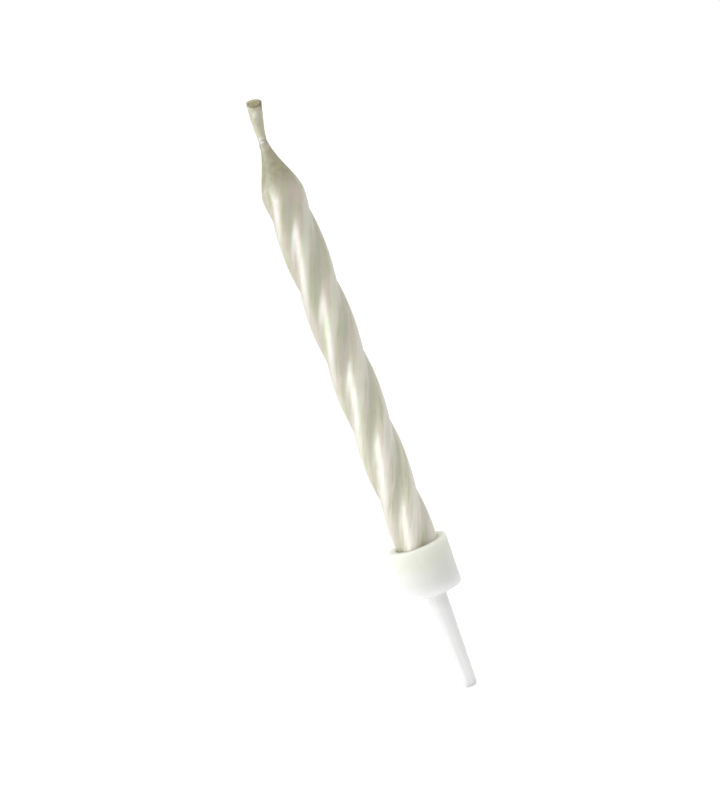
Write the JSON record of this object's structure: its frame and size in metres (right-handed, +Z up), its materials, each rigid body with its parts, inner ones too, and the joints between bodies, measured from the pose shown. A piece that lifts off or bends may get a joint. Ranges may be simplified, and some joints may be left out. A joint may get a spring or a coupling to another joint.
{
  "type": "spiral birthday candle",
  "caption": "Pearl white spiral cake candle with a smooth shoulder and a waxed wick, standing in a small white cup whose spike is pushed into the cake.",
  "frame": {"origin": "centre of the underside of the holder's cup, on the candle's axis, at the surface of the cake", "axes": "+Z up along the candle towards the wick, and the wick's cut end leans towards +X"},
  "size_m": [0.0072, 0.0072, 0.0733],
  "materials": {
    "pearl_wax": "satin",
    "waxed_cotton": "satin",
    "natural_white_plastic": "satin"
  },
  "bodies": {
    "holder": {"holder": "natural_white_plastic"},
    "candle": {"wax_body": "pearl_wax", "wick": "waxed_cotton"}
  },
  "joints": [
    {"name": "candle_lift", "type": "slide", "parent": "holder", "child": "candle", "axis": [0, 0, 1], "range_m": [0, 0.01]}
  ]
}
